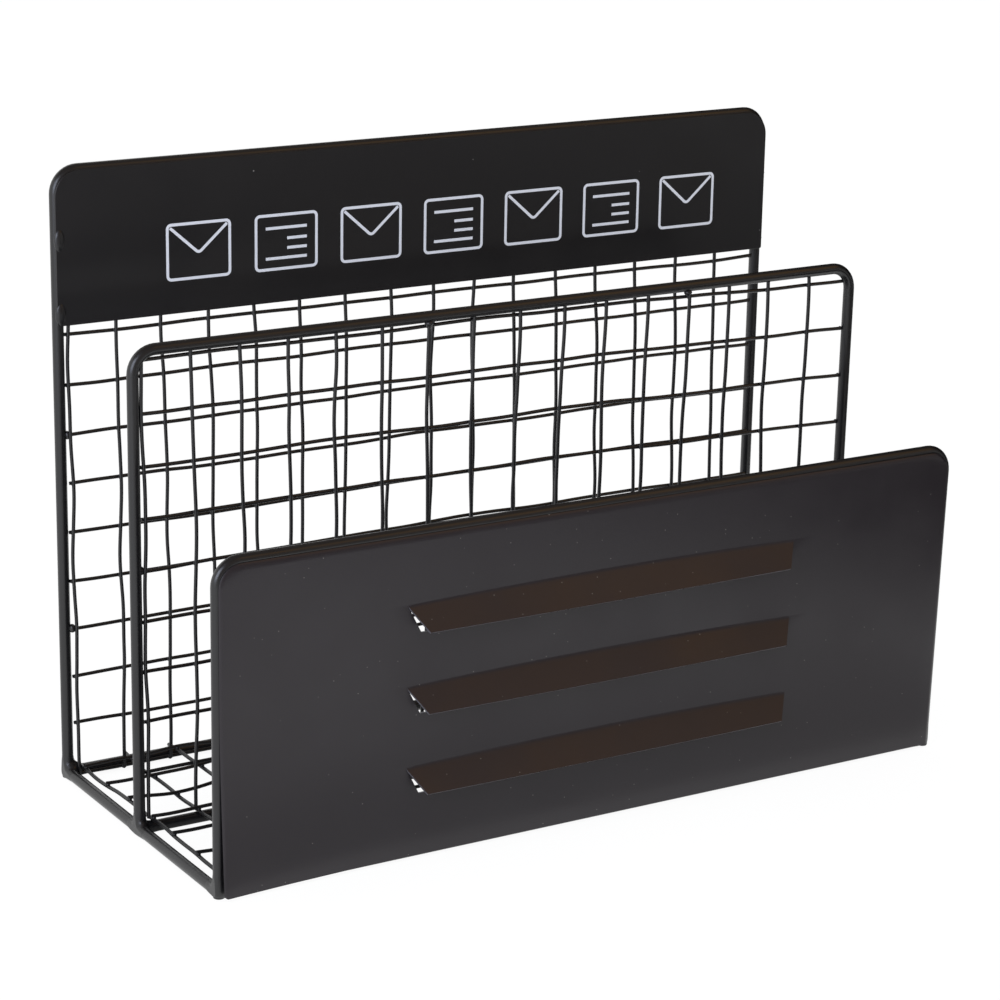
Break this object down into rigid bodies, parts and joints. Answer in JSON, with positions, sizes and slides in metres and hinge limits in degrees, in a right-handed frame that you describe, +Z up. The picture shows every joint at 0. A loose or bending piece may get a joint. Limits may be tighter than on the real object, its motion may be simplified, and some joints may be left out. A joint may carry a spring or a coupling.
{
  "type": "letter rack",
  "caption": "Free-standing black wire letter rack with a tall back, a mesh divider and a low louvred front, which holds letters and papers upright in two open pockets.",
  "frame": {"origin": "on the desk under the middle of the rack's outline", "axes": "+X to the right along the width, +Y to the back, +Z up; the louvred front faces -Y"},
  "size_m": [0.33, 0.1476, 0.2455],
  "materials": {
    "frame_rod": "satin black powder coat",
    "mesh_wire": "satin black powder coat",
    "sign_sheet": "satin black powder coat",
    "front_sheet": "satin black powder coat",
    "weld_bead": "black powder coat over weld beads"
  },
  "bodies": {
    "root": {"base_mesh_cross_wire_01": "mesh_wire", "base_mesh_cross_wire_02": "mesh_wire", "base_mesh_cross_wire_03": "mesh_wire", "base_mesh_cross_wire_04": "mesh_wire", "base_mesh_cross_wire_05": "mesh_wire", "base_mesh_cross_wire_06": "mesh_wire", "base_mesh_cross_wire_07": "mesh_wire", "base_mesh_depth_wires": "mesh_wire", "divider_bottom_rod": "frame_rod", "divider_frame_rod": "frame_rod", "divider_mesh_cross_wire_01": "mesh_wire", "divider_mesh_cross_wire_02": "mesh_wire", "divider_mesh_cross_wire_03": "mesh_wire", "divider_mesh_cross_wire_04": "mesh_wire", "divider_mesh_cross_wire_05": "mesh_wire", "divider_mesh_cross_wire_06": "mesh_wire", "divider_mesh_cross_wire_07": "mesh_wire", "divider_mesh_cross_wire_08": "mesh_wire", "divider_mesh_cross_wire_09": "mesh_wire", "divider_mesh_uprights": "mesh_wire", "divider_mesh_welds": "weld_bead", "frame_corner_welds": "weld_bead", "front_bottom_rod": "frame_rod", "front_frame_rod": "frame_rod", "front_panel": "front_sheet", "front_panel_welds": "weld_bead", "left_base_rail": "frame_rod", "rear_bottom_rod": "frame_rod", "rear_frame_rod": "frame_rod", "rear_mesh_cross_wire_01": "mesh_wire", "rear_mesh_cross_wire_02": "mesh_wire", "rear_mesh_cross_wire_03": "mesh_wire", "rear_mesh_cross_wire_04": "mesh_wire", "rear_mesh_cross_wire_05": "mesh_wire", "rear_mesh_cross_wire_06": "mesh_wire", "rear_mesh_cross_wire_07": "mesh_wire", "rear_mesh_cross_wire_08": "mesh_wire", "rear_mesh_cross_wire_09": "mesh_wire", "rear_mesh_cross_wire_10": "mesh_wire", "rear_mesh_uprights": "mesh_wire", "rear_mesh_welds": "weld_bead", "right_base_rail": "frame_rod", "sign_panel": "sign_sheet", "sign_panel_welds": "weld_bead"}
  },
  "joints": []
}
